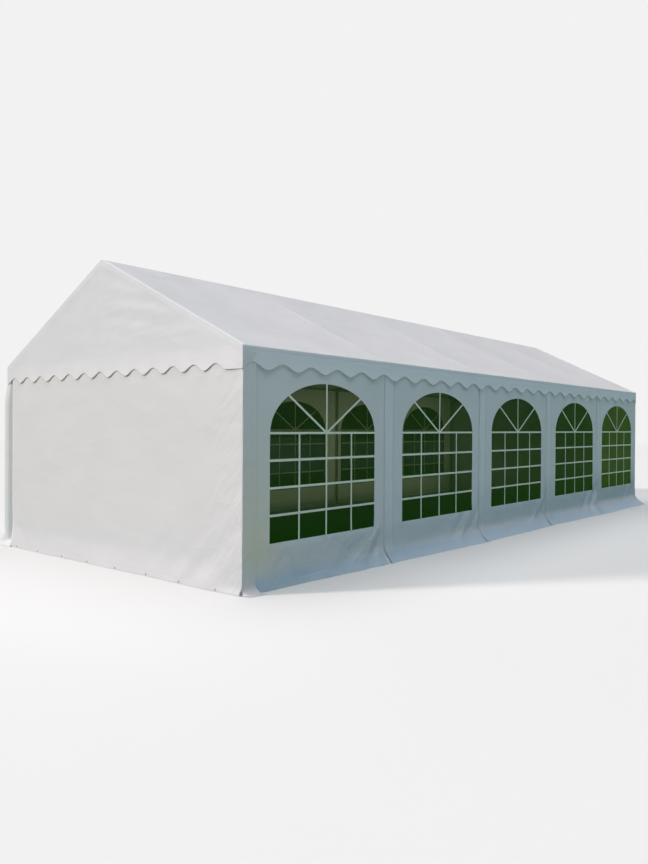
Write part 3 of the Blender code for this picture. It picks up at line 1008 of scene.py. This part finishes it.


# %% [markdown]
# ## Welds, laps and hems, with painted highlights and shade
# Each sheet has its own welds and laps, which read the UV map, because that is the flat cut in metres.
# A weld or a lap is two layers of cloth, so it is a little whiter and stands up by its own thickness, and
# beside it runs a narrow groove, whose shade is painted darker into the colour. Each sheet's function
# gives two masks, one for each. A strip that catches more light than its neighbours, such as the hem
# along the verge, goes over 1, which paints a highlight on it, and the whole valance of the roof cover is
# painted bluish with the doubled cloth's colour, as sky light on it.

# %% Where each sheet is doubled, with its painted highlights and shade
def panel_welds_and_light(look, flat):
    """The lap at a panel's left, with a painted highlight on its hem and a painted shadow at its edge,
    and the hem at its foot.
    """
    across, height = look.parts(flat)
    doubled_and_lit = look.range(across, LAP + 0.004, LAP - 0.004) + look.band(height, 0.03, 0.025, 0.004)
    # A painted shadow at the lap's edge
    groove_shade = look.band(across, LAP + 0.010, 0.010, 0.012) * 0.35
    # A painted highlight along the lap's hem
    lap_hem_highlight = look.band(across, LAP - 0.016, 0.010, 0.008)
    return look.range(doubled_and_lit, 0, 1) + lap_hem_highlight * 0.7, look.range(groove_shade, 0, 1)


def end_wall_welds_and_light(look, flat):
    """The hems at an end wall's two upright edges, and the weld line of the one at its foot, with painted
    shade in its groove.
    """
    across, height = look.parts(flat)
    doubled_and_lit = look.range(across, 0.034, 0.030) + look.range(across, END_WIDTH - 0.016, END_WIDTH - 0.012)
    groove_shade = look.band(height, 0.052, 0.001, 0.004) * 0.2
    return look.range(doubled_and_lit, 0, 1), look.range(groove_shade, 0, 1)


def gable_welds_and_light(look, flat):
    """The broad hem along the verges, painted brighter as a highlight, the upright weld left of the
    middle, and the valance's weld, with painted shade in the grooves.
    """
    across, height = look.parts(flat)
    slope_rise = (RIDGE - EAVE) / HALF_WIDTH
    from_verge = (RIDGE - look.absolute(across) * slope_rise - height) * cos(SLOPE_ANGLE)
    # The verge's hem, painted brighter as a highlight
    doubled_and_lit = look.range(from_verge, 0.062, 0.040) * look.range(height, EAVE - 0.03, EAVE)
    groove_shade = look.band(across, -0.09, 0.001, 0.006) * look.range(height, EAVE, EAVE + 0.03) * 0.25
    groove_shade = groove_shade + look.band(height, EAVE - 0.030, 0.001, 0.010) * 0.04
    return look.range(doubled_and_lit, 0, 1), look.range(groove_shade, 0, 1)


def roof_welds_and_light(look, flat):
    """A welded strip over each rafter, a hem along each verge painted brighter as a highlight, the
    valance painted bluish as sky light, and its weld below the eave, with painted shade in the grooves.
    """
    along, across = look.parts(flat)
    down = look.absolute(across)
    # The whole valance, painted bluish as sky light on it
    valance = look.range(down, SLOPE_LENGTH + 0.001, SLOPE_LENGTH + 0.006)
    doubled_and_lit = valance
    for place in RAFTERS[1:-1]:
        doubled_and_lit = doubled_and_lit + look.band(along, place, 0.012, 0.006)
    groove_shade = look.band(down, SLOPE_LENGTH + 0.036, 0.002, 0.005) * 0.5
    groove_shade = groove_shade + look.band(down, SLOPE_LENGTH + 0.11, 0.001, 0.010) * 0.15
    # The verge's hem, painted brighter as a highlight
    verge_highlight = look.range(look.absolute(along), HALF_LENGTH - 0.046, HALF_LENGTH - 0.040)
    verge_highlight = verge_highlight * look.range(down, SLOPE_LENGTH, SLOPE_LENGTH - 0.006)
    return look.range(doubled_and_lit, 0, 1) + valance * 0.8 + verge_highlight * 1.8, look.range(groove_shade, 0, 1)


# %% [markdown]
# ## Cloth for each piece
# The sheets are the same white, give or take a shade. Hems are bound in a darker olive strip, partly its
# own colour and partly painted shade for its underside, and the gable's hems are painted lighter, as in
# the sun. The window bars are whiter and a little green from the film around them, and their backs are
# painted greyer, as cloth in the tent's own shade: only those of the far wall are seen, through the near
# film. The right side's panels have the painted shade low down, and the left side's have neither it nor
# the dust and the drawn folds.

# %% Dress the sheets
WHITE, OFF_WHITE = (0.86, 0.865, 0.87), (0.82, 0.825, 0.83)
roof_cloth = pvc("roof_cloth", WHITE, OFF_WHITE, welds_and_light=roof_welds_and_light)
gable_cloth = pvc("gable_cloth", (0.885, 0.88, 0.915), (0.845, 0.84, 0.875), welds_and_light=gable_welds_and_light)
panel_cloths = {
    # The right side's panels get the painted shade low down
    "right": pvc("panel_cloth_shaded_low", WHITE, OFF_WHITE, welds_and_light=panel_welds_and_light, folds_dust_and_shade=True),
    "left": pvc("panel_cloth_left", WHITE, OFF_WHITE, welds_and_light=panel_welds_and_light),
}
end_wall_cloth = pvc(
    "end_wall_cloth", (0.865, 0.85, 0.87), (0.825, 0.81, 0.83), welds_and_light=end_wall_welds_and_light, puckered=True
)
# The hems' olive is partly the strip's own colour and partly painted shade for its underside
hem_cloth_shaded = pvc("hem_cloth_shaded", (0.66, 0.62, 0.50), (0.60, 0.56, 0.44), crease=0.0)
bar_cloth = pvc("window_bar_cloth", (0.93, 0.95, 0.80), (0.87, 0.90, 0.75), crease=0.0)
# The bars' backs are painted greyer, as the tent's own shade
bar_back_cloth = pvc("window_bar_back_cloth", (0.56, 0.60, 0.50), (0.50, 0.54, 0.44), crease=0.0)
# The gable's hems are painted lighter, as in the sun
gable_hem_cloth_lit = pvc("gable_hem_cloth_lit", (0.76, 0.74, 0.67), (0.70, 0.68, 0.61), crease=0.0)
wear(roof_cover, roof_cloth)
for piece in (gable_cover_front, gable_cover_rear):
    wear(piece, gable_cloth)
for piece in (end_wall_front, end_wall_rear):
    wear(piece, end_wall_cloth)
for (label, bay), piece in side_walls.items():
    wear(piece, panel_cloths[label])
for piece in side_hems:
    wear(piece, hem_cloth_shaded)
for piece in gable_hems:
    wear(piece, gable_hem_cloth_lit)
for (label, bay), piece in window_bars.items():
    wear(piece, bar_cloth)
    piece.data.materials.append(bar_back_cloth.material)
    inward = -1 if label == "right" else 1
    for face in piece.data.polygons:
        face.material_index = int(face.normal.x * inward > 0.5)
print(len(bpy.data.materials), "materials so far")

# %% [markdown]
# ## Clear film
# The windows are clear PVC, which is glossy, greenish in depth and never quite flat. From outside, with
# little light in the tent, such film reads as dark green, and its colour is painted greener low down, for
# the green ground seen through it. Most of what is seen is the film's own colour, and an eighth shows
# through, enough for the bars and walls of the other side to be made out. The lowest row of panes lets
# less through, so that it reads dark, as painted shade for the floor inside. The right side's last window
# is painted yellower, as painted light from a bright view through it, and the two before it let less
# through, so they are deeper.

# %% Film
LETS_THROUGH, LOW_PANES_LET = 0.13, 0.025
film_look = material("clear_film", Roughness=0.1)
film_look.shader.inputs["Specular IOR Level"].default_value = 0.12
film_place = film_look.place("Object")
height = film_look.node("ShaderNodeSeparateXYZ", {}, {0: film_place}, output="Z")
# Painted greener low down, for the green ground seen through the film
film_tone_and_ground = film_look.node(
    "ShaderNodeValToRGB",
    {
        "stops": [
            (0.0, (0.009, 0.064, 0.002)),
            (0.32, (0.012, 0.050, 0.005)),
            (1.0, (0.020, 0.052, 0.009)),
        ]
    },
    {"Fac": film_look.range(height, 0.40, 1.2)},
)
across_tent, along_tent = film_look.parts(film_place)
# The right side's last window is painted yellower, as light of a bright view through it
last_window = film_look.range(along_tent, 2.9, 3.1) * film_look.range(across_tent, -0.1, 0.1)
far_windows = film_look.range(along_tent, -0.2, 1.0) * (1 - last_window)
film_look.set("Base Color", film_look.mix(last_window, film_tone_and_ground, (0.05, 0.10, 0.005, 1)))
# The lowest panes let less through, so they read dark, as painted shade for the floor inside
through = film_look.range(height, 0.63, 0.637, LOW_PANES_LET, LETS_THROUGH)
film_look.set("Alpha", 1 - through * (1 - far_windows * 0.4))
film_look.set("Roughness", film_look.range(film_look.noise(film_place, 2.0, 3.0), 0.3, 0.7, 0.07, 0.18))
film_look.set("Normal", film_look.bump(film_look.noise(film_place, 2.6, 2.0), 0.004, 0.5))
for piece in window_films.values():
    wear(piece, film_look)
print(len(film_look.tree.nodes), "nodes in the film's material")

# %% [markdown]
# ## Galvanised tube
# The frame is steel tube dipped in zinc, which is grey and dull with a faint crystal pattern. The pattern
# is a Voronoi texture whose cells each take their own shade. The CAD nodes keep their shape, so only
# the material in their slots is changed.

# %% Steel
steel = material("galvanised_steel", Metallic=0.85, Roughness=0.42)
steel_place = steel.place("Object")
cells = steel.node("ShaderNodeTexVoronoi", {}, {"Vector": steel_place, "Scale": 90.0}, output="Color")
cell_tone = steel.node("ShaderNodeSeparateColor", {}, {0: cells})
clouding = steel.noise(steel_place, 6.0, 3.0)
zinc = cell_tone * 0.5 + clouding * 0.5
steel.set("Base Color", steel.mix(zinc, (0.47, 0.48, 0.49, 1), (0.64, 0.65, 0.66, 1)))
steel.set("Roughness", steel.range(clouding, 0.3, 0.7, 0.34, 0.52))
steel.set("Normal", steel.bump(steel.noise(steel_place, 160.0), 0.0003, 0.3))
TUBE_NAMES = ("leg", "rafter", "ridge", "eave", "gable_beam")
tubes = [node for name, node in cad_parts.items() if name.startswith(TUBE_NAMES)]
for node in tubes:
    wear(node, steel)
print(len(tubes), "steel nodes")

# %% [markdown]
# ## Eyelets in the skirts
# A row of small metal eyelets at the foot of each end wall takes the ground pegs. One is made from a
# torus, flattened to a pressed ring, with a small disc in it that is painted dark, as the shade in the
# hole. It is then copied to each place, and turned to lie on the cloth there. The cloth's own shape
# function gives the slope, from two short steps along it.

# %% Eyelets
deselect()
bpy.ops.mesh.primitive_torus_add(
    major_radius=0.0085, minor_radius=0.0026, major_segments=14, minor_segments=6, location=(0, 0, 0)
)
ring = bpy.context.object
bpy.ops.object.mode_set(mode="EDIT")
bpy.ops.transform.resize(value=(1, 1, 0.55))
bpy.ops.object.mode_set(mode="OBJECT")
ring.data.materials.append(steel.material)

# The disc is painted dark, as the shade in the eyelet's hole
hole_shade_look = material("eyelet_hole_shade", Roughness=0.8)
hole_shade_tone = hole_shade_look.noise(hole_shade_look.place("Object"), 60.0)
hole_shade_look.set("Base Color", hole_shade_look.mix(hole_shade_tone, (0.30, 0.30, 0.26, 1), (0.37, 0.37, 0.32, 1)))
deselect()
bpy.ops.mesh.primitive_circle_add(vertices=14, radius=0.007, fill_type="TRIFAN", location=(0, 0, 0.0006))
hole_shade_disc = bpy.context.object
bpy.ops.object.transform_apply(location=True)
hole_shade_disc.data.materials.append(hole_shade_look.material)
eyelet = join([ring, hole_shade_disc], "eyelet")
make_active(eyelet)
bpy.ops.object.shade_smooth_by_angle(angle=radians(50))


def lying_on(place, s, z):
    """The matrix of something that lies on a wall's outer side at s and z."""
    point, step = Vector(place(s, z)), 0.004
    along = (Vector(place(s + step, z)) - point).normalized()
    rising = Vector(place(s, z + step)) - point
    out = along.cross(rising).normalized()
    turned = Matrix((along, out.cross(along), out)).transposed()
    return Matrix.Translation(point + out * 0.0008) @ turned.to_4x4()


def copies_at(model, matrices, name):
    """Copies of a small part at each matrix, joined into one piece."""
    made = []
    for matrix in matrices:
        part = copy_piece(model, "copy")
        part.data.transform(matrix)
        made.append(part)
    bpy.data.objects.remove(model)
    piece = join(made, name)
    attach(piece, "root")
    return piece


EYELET_HEIGHT = 0.017
FIRST_EYELET, EYELET_STEP = 0.14, 0.49
turned_round = Matrix.Rotation(pi, 4, "Z")
spots = []
for k in range(8):
    s = FIRST_EYELET + EYELET_STEP * k
    spots.append(lying_on(lambda a, z: end_point(a, z, 0.0, END_SEED["front"]), s, EYELET_HEIGHT))
    on_rear = lying_on(lambda a, z: end_point(a, z, 0.0, END_SEED["rear"]), s, EYELET_HEIGHT)
    spots.append(turned_round @ on_rear)
skirt_eyelets = copies_at(eyelet, spots, "skirt_eyelets")
print(len(spots), "eyelets")

# %% [markdown]
# ## Bolts and pegs
# Each sleeve of a fitting is pinned to its tube by a bolt, and each foot plate is held by a peg whose
# head shows. Both are a cylinder whose upper rim is bevelled and whose underside is extruded: outwards
# and down as a bolt's washer, or inwards and down as a peg's shank. So one function makes the two, and
# only the numbers differ.

# %% Bolt
def select_only(piece, sign):
    """In edit mode: selects the faces that look up (sign 1) or down (sign -1), and nothing else."""
    bpy.ops.mesh.select_mode(type="FACE")
    bpy.ops.mesh.select_all(action="DESELECT")
    shape = bmesh.from_edit_mesh(piece.data)
    for face in shape.faces:
        if face.normal.z * sign > 0.9:
            face.select_set(True)
    bmesh.update_edit_mesh(piece.data)


def headed_pin(sides, radius, depth, middle, rim, rounding, foot, reach):
    """A head with its middle at a height, and a washer or shank below: foot times as wide, reach long."""
    deselect()
    place = (0, 0, middle)
    bpy.ops.mesh.primitive_cylinder_add(vertices=sides, radius=radius, depth=depth, location=place)
    made = bpy.context.object
    bpy.ops.object.transform_apply(location=True)
    bpy.ops.object.mode_set(mode="EDIT")
    select_only(made, 1)
    bpy.ops.mesh.bevel(offset=rim, segments=rounding, affect="EDGES")
    select_only(made, -1)
    bpy.ops.mesh.extrude_region_move(TRANSFORM_OT_translate={"value": (0, 0, 0)})
    bpy.ops.transform.resize(value=(foot, foot, 1), center_override=(0, 0, middle - depth / 2))
    bpy.ops.mesh.extrude_region_move(TRANSFORM_OT_translate={"value": (0, 0, -reach)})
    bpy.ops.object.mode_set(mode="OBJECT")
    made.data.materials.append(steel.material)
    return made


bolt = headed_pin(6, 0.0075, 0.0055, 0.0043, rim=0.0009, rounding=2, foot=1.45, reach=0.0015)


def facing(point, way):
    """The matrix that stands a part on point with its +Z along way."""
    turned = Vector(way).to_track_quat("Z", "Y").to_matrix().to_4x4()
    return Matrix.Translation(point) @ turned


FRAME_X = 1.9661
SLEEVE_R, RUN_SLEEVE_R = 0.022, 0.024
BOLT_ALONG = 0.062
frame_slope = atan2(FRAME_RIDGE - EAVE, HALF_WIDTH)
ridge_z = FRAME_RIDGE - (LAYER + RUN_SLEEVE_R) / cos(frame_slope)
beam_z = ridge_z - FRAME_X * tan(frame_slope)
bolt_places = []
for y in RAFTERS:
    inward = 1 if y < 0 else -1
    for side in (1, -1):
        bolt_places.append(facing((side * (FRAME_X - SLEEVE_R), y, beam_z - BOLT_ALONG), (-side, 0, 0)))
        up_x, up_z = BOLT_ALONG * cos(frame_slope), BOLT_ALONG * sin(frame_slope)
        low = (side * (FRAME_X - up_x), y + inward * SLEEVE_R, beam_z + up_z)
        high = (side * up_x, y + inward * SLEEVE_R, ridge_z - up_z)
        bolt_places += [facing(low, (0, inward, 0)), facing(high, (0, inward, 0))]
frame_bolts = copies_at(bolt, bolt_places, "frame_bolts")
print(len(bolt_places), "bolts")

# %% [markdown]
# ## Pegs
# A peg goes down through each foot plate, near its inner edge. Its head is round, so it is shaded
# smooth, apart from its sharp edges.

# %% Peg
PEG_INSET = 0.035
peg = headed_pin(16, 0.011, 0.006, 0.015, rim=0.0022, rounding=3, foot=0.62, reach=0.0078)
make_active(peg)
bpy.ops.object.shade_smooth_by_angle(angle=radians(40))
peg_places = [
    Matrix.Translation((side * (FRAME_X - PEG_INSET), y, 0.0)) for y in RAFTERS for side in (1, -1)
]
plate_pegs = copies_at(peg, peg_places, "plate_pegs")
print(len(peg_places), "pegs")

# %% [markdown]
# ## The floor
# A plain pale floor. To the camera it is nearly white, while the light that it throws back on the cloth,
# and what shines in the films or is seen through them, is darker and greener, as out of doors. A Light
# Path node tells those rays apart. It is used on the stage only and never on the tent.

# %% Floor
deselect()
bpy.ops.mesh.primitive_grid_add(x_subdivisions=8, y_subdivisions=8, size=120, location=(0, 0, 0))
floor = bpy.context.object
floor.name = "floor"
floor_look = material("floor_paint", Roughness=0.9)
floor_place = floor_look.place()
pale = floor_look.mix(
    floor_look.noise(floor_place, 0.4, 3.0), (0.835, 0.85, 0.835, 1), (0.855, 0.87, 0.855, 1)
)
camera_ray, mirrored, films = floor_look.rays()
behind = floor_look.range(floor_look.parts(floor_place)[1], -7.0, -3.5)
thrown_back = floor_look.mix(behind, (0.375, 0.44, 0.395, 1), (0.335, 0.47, 0.52, 1))
unseen = floor_look.mix(mirrored, thrown_back, (0.07, 0.23, 0.02, 1))
seen_bare = camera_ray * floor_look.range(films, 0.9, 0.1)
floor_look.set("Base Color", floor_look.mix(seen_bare, unseen, pale))
wear(floor, floor_look)
print("floor", round(floor.dimensions.x), "m wide")

# %% [markdown]
# ## Lights
# The main light comes from the front left, high up and soft, so the front gable and the roof are bright,
# and the window side is in open shade. A wide soft light overhead stands for the sky, and a weak bluish
# one comes from the right. Inside, even lights along the middle face each long wall, a second pair of
# them low down, so that the walls seen through the films aren't black. Camera and gloss don't see these.

# %% Lights
def add_light(name, kind, power, colour, **settings):
    data = bpy.data.lights.new(name, kind)
    data.energy = power
    data.color = colour
    for setting, value in settings.items():
        setattr(data, setting, value)
    lamp = bpy.data.objects.new(name, data)
    bpy.context.scene.collection.objects.link(lamp)
    return lamp


def sun(name, towards, strength, spread, colour):
    """A far light from the direction towards. Strength 1 gives a white surface a value of 1."""
    lamp = add_light(name, "SUN", strength * pi, colour, angle=radians(spread))
    lamp.rotation_euler = Vector(towards).to_track_quat("Z", "Y").to_euler()


def inside_light(name, side, height, tall, power):
    """A soft light in the middle of the tent, as long as it is, that faces one of its long walls."""
    shape = {"shape": "RECTANGLE", "size": tall, "size_y": 9.2, "spread": radians(64)}
    lamp = add_light(name, "AREA", power, (0.95, 1.0, 0.60), **shape)
    lamp.location = (side * 0.05, 0, height)
    lamp.rotation_euler = (0, -side * pi / 2, 0)
    lamp.visible_camera = False
    lamp.visible_glossy = False


sun("key", (-0.55, -0.72, 0.42), 0.69, 8, (0.995, 0.885, 0.85))
sun("overhead", (0.0, 0.0, 1.0), 0.775, 70, (0.96, 0.92, 0.93))
sun("side_sky", (0.9, -0.1, 0.4), 0.02, 60, (0.1, 0.8, 1.0))
for label, side in (("right", 1), ("left", -1)):
    inside_light(f"inside_{label}", side, 1.35, 1.1, 20)
    inside_light(f"low_inside_{label}", side, 0.35, 0.4, 9)
print(len(bpy.data.lights), "lights")

# %% [markdown]
# ## The background
# The background is pale to the eye and lights the tent only dimly, with a little blue. What the films
# and the tubes mirror of it is green low down and pale above.

# %% Background
world = bpy.data.worlds.new("studio")
bpy.context.scene.world = world
sky = Look(world, "Background")
rising = sky.node("ShaderNodeSeparateXYZ", {}, {0: sky.place("Generated")}, output="Z")
reflected = sky.mix(sky.range(rising, 0.12, 0.24), (0.06, 0.21, 0.02, 1), (0.27, 0.26, 0.255, 1))
camera_ray, mirrored, films = sky.rays()
unseen = sky.mix(mirrored, (0.01, 0.04, 0.068, 1), reflected)
seen_bare = camera_ray * sky.range(films, 0.9, 0.1)
sky.set("Color", sky.mix(seen_bare, unseen, (0.885, 0.89, 0.885, 1)))
bpy.context.scene.view_settings.view_transform = "Standard"
print(len(sky.tree.nodes), "nodes in the background")
